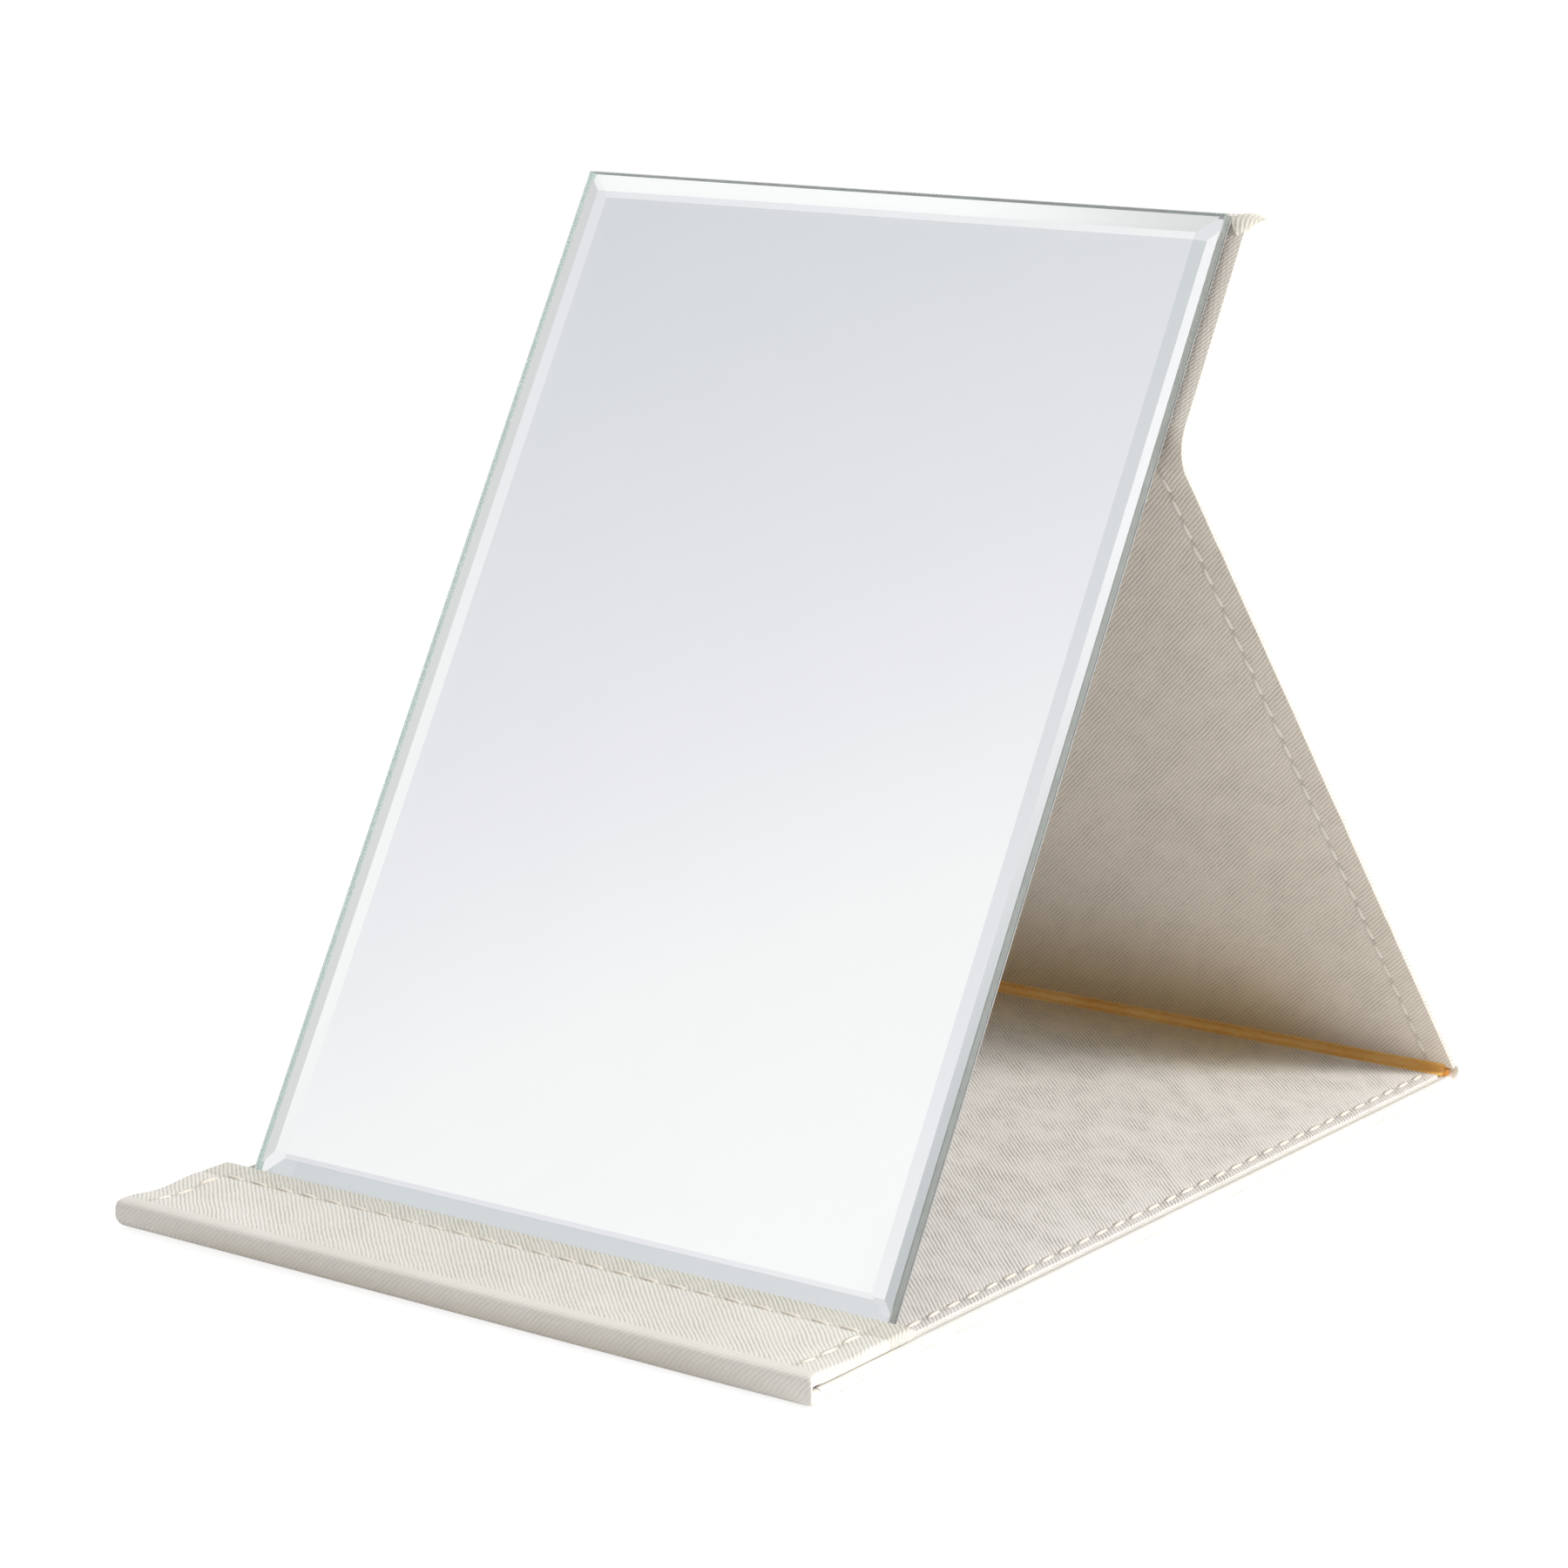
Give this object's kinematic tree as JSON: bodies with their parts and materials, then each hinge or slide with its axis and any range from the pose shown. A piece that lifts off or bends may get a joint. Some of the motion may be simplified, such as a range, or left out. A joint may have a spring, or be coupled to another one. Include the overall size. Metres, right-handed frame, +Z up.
{
  "type": "folding makeup mirror",
  "caption": "Bevelled rectangular mirror on a folding easel of ribbed ivory leatherette panels, its foot held by a folded front flap.",
  "frame": {"origin": "centre of the footprint, on the surface that the mirror stands on", "axes": "+X to the user's right, +Y from the front flap to the rear fold, +Z up"},
  "size_m": [0.17, 0.245, 0.1987],
  "materials": {
    "cover": "ivory twill-embossed leatherette, semi-matt",
    "lining": "ivory twill-embossed leatherette, semi-matt",
    "fold_strip": "tan raw leatherette strip, matt",
    "thread": "pale sewing thread",
    "board": "grey board",
    "glass": "clear float glass, polished bevel",
    "silvering": "silvered, bright",
    "backing": "grey safety film, matt",
    "tape": "double-sided mounting tape",
    "magnet": "nickel-plated magnet",
    "keeper": "plain steel"
  },
  "bodies": {
    "base": {"base_cover": "cover", "base_board": "board", "base_lining": "lining", "base_seam": "thread", "front_fold_cover": "cover", "front_fold_lining": "lining", "rear_fold_cover": "cover", "rear_fold_lining": "fold_strip"},
    "strut": {"strut_cover": "cover", "strut_board": "board", "strut_lining": "lining", "strut_seam": "thread", "upper_fold_cover": "cover", "upper_fold_lining": "lining"},
    "mirror": {"upper_cover": "cover", "upper_board": "board", "upper_lining": "lining", "upper_seam": "thread", "keeper_plates": "keeper", "mirror_tape": "tape", "mirror_backing": "backing", "mirror_silvering": "silvering", "mirror_glass": "glass"},
    "flap": {"flap_cover": "cover", "flap_board": "board", "flap_lining": "lining", "flap_seam": "thread", "flap_magnets": "magnet"}
  },
  "joints": [
    {"name": "strut_fold", "type": "hinge", "parent": "base", "child": "strut", "pos_m": [0, 0.12183, 0.00232], "axis": [-1, 0, 0], "range_deg": [0, 127.96], "deforming": ["rear_fold_cover", "rear_fold_lining"]},
    {"name": "mirror_fold", "type": "hinge", "parent": "strut", "child": "mirror", "pos_m": [0, 0.00417, 0.15446], "axis": [1, 0, 0], "range_deg": [0, 68.18], "deforming": ["upper_fold_cover", "upper_fold_lining"]},
    {"name": "flap_fold", "type": "hinge", "parent": "base", "child": "flap", "pos_m": [0, -0.12249, 0.00315], "axis": [1, 0, 0], "range_deg": [0, 180], "deforming": ["front_fold_cover", "front_fold_lining"]}
  ],
  "couplings": [
    {"joint": "mirror_fold", "follows": "strut_fold", "ratio": 0.53282}
  ]
}
